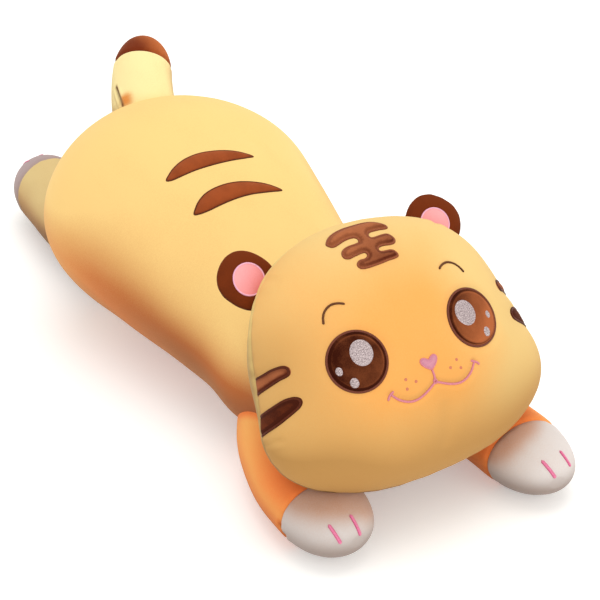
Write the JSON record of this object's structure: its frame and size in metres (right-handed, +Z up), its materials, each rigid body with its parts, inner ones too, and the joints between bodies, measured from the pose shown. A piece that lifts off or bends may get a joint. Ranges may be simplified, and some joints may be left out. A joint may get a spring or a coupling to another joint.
{
  "type": "plush tiger",
  "caption": "Plush tiger lying on its belly with legs stretched out, a big smiling face and a short upright tail; legs, head, ears and tail bend.",
  "frame": {"origin": "middle of the toy's length and width, on the surface that its belly lies on", "axes": "+Z up, the head and front paws towards -Y, the rear feet towards +Y, the tiger's own left side towards +X"},
  "size_m": [0.3118, 0.969, 0.2799],
  "materials": {
    "yellow_plush": "short-pile plush",
    "face_plush": "short-pile plush",
    "brown_plush": "short-pile plush",
    "eye_cloth": "satin-edged cloth",
    "white_plush": "short-pile plush",
    "pink_cloth": "cloth and thread",
    "rose_thread": "embroidery thread",
    "silver_thread": "embroidery thread",
    "filling_fibre": "loose polyester fibre"
  },
  "bodies": {
    "torso": {"body_cover": "yellow_plush", "body_filling": "filling_fibre", "back_stripe_front": "brown_plush", "back_stripe_rear": "brown_plush"},
    "head": {"head_face_panel": "face_plush", "head_back_panel": "yellow_plush", "head_filling": "filling_fibre", "forehead_mark": "brown_plush", "nose": "rose_thread", "mouth": "rose_thread", "eye_left": "eye_cloth", "eye_glint_left": "silver_thread", "eye_glint_outer_left": "silver_thread", "eye_glint_lower_left": "silver_thread", "eye_right": "eye_cloth", "eye_glint_right": "silver_thread", "eye_glint_outer_right": "silver_thread", "eye_glint_lower_right": "silver_thread", "brow_left": "eye_cloth", "brow_right": "eye_cloth", "whisker_dot_inner_left": "rose_thread", "whisker_dot_upper_left": "rose_thread", "whisker_dot_lower_left": "rose_thread", "whisker_dot_inner_right": "rose_thread", "whisker_dot_upper_right": "rose_thread", "whisker_dot_lower_right": "rose_thread", "cheek_stripe_upper_left": "brown_plush", "cheek_stripe_lower_left": "brown_plush", "cheek_stripe_upper_right": "brown_plush", "cheek_stripe_lower_right": "brown_plush"},
    "ear_left": {"ear_left": "brown_plush", "ear_lining_left": "pink_cloth"},
    "ear_right": {"ear_right": "brown_plush", "ear_lining_right": "pink_cloth"},
    "front_leg_left": {"front_leg_left": "yellow_plush", "front_paw_left": "white_plush", "front_leg_left_filling": "filling_fibre", "front_paw_left_toe_line_outer": "pink_cloth", "front_paw_left_toe_line_inner": "pink_cloth"},
    "front_leg_right": {"front_leg_right": "yellow_plush", "front_paw_right": "white_plush", "front_leg_right_filling": "filling_fibre", "front_paw_right_toe_line_outer": "pink_cloth", "front_paw_right_toe_line_inner": "pink_cloth"},
    "rear_leg_left": {"rear_leg_left": "yellow_plush", "rear_foot_left": "white_plush", "rear_leg_left_filling": "filling_fibre", "rear_foot_left_toe_line_outer": "pink_cloth", "rear_foot_left_toe_line_inner": "pink_cloth"},
    "rear_leg_right": {"rear_leg_right": "yellow_plush", "rear_foot_right": "white_plush", "rear_leg_right_filling": "filling_fibre", "rear_foot_right_toe_line_outer": "pink_cloth", "rear_foot_right_toe_line_inner": "pink_cloth"},
    "tail": {"tail": "yellow_plush", "tail_tip": "brown_plush", "tail_filling": "filling_fibre"}
  },
  "joints": [
    {"name": "head_nod", "type": "hinge", "parent": "torso", "child": "head", "pos_m": [0, -0.2795, 0.0745], "axis": [-1, 0, 0], "range_deg": [-3, 10], "stiffness_Nm_per_rad": 5, "springref_deg": 2.86},
    {"name": "ear_left_fold", "type": "hinge", "parent": "head", "child": "ear_left", "pos_m": [0.09084, -0.29112, 0.22651], "axis": [0.7619, -0.3743, -0.5287], "range_deg": [-20, 20], "stiffness_Nm_per_rad": 0.01},
    {"name": "ear_right_fold", "type": "hinge", "parent": "head", "child": "ear_right", "pos_m": [-0.10071, -0.29595, 0.21968], "axis": [0.7025, 0.4113, 0.5808], "range_deg": [-20, 20], "stiffness_Nm_per_rad": 0.01},
    {"name": "front_leg_left_spread", "type": "hinge", "parent": "torso", "child": "front_leg_left", "pos_m": [0.062, -0.2305, 0.046], "axis": [0, 0, 1], "range_deg": [0, 25], "stiffness_Nm_per_rad": 0.3},
    {"name": "front_leg_right_spread", "type": "hinge", "parent": "torso", "child": "front_leg_right", "pos_m": [-0.062, -0.2305, 0.046], "axis": [0, 0, -1], "range_deg": [0, 25], "stiffness_Nm_per_rad": 0.3},
    {"name": "rear_leg_left_spread", "type": "hinge", "parent": "torso", "child": "rear_leg_left", "pos_m": [0.063, 0.2025, 0.056], "axis": [0, 0, -1], "range_deg": [-2, 22], "stiffness_Nm_per_rad": 0.4},
    {"name": "rear_leg_right_spread", "type": "hinge", "parent": "torso", "child": "rear_leg_right", "pos_m": [-0.063, 0.2025, 0.056], "axis": [0, 0, 1], "range_deg": [-2, 22], "stiffness_Nm_per_rad": 0.4},
    {"name": "tail_wag", "type": "hinge", "parent": "torso", "child": "tail", "pos_m": [0.012, 0.2215, 0.206], "axis": [0, -0.6286, 0.7777], "range_deg": [-25, 25], "stiffness_Nm_per_rad": 0.1}
  ]
}
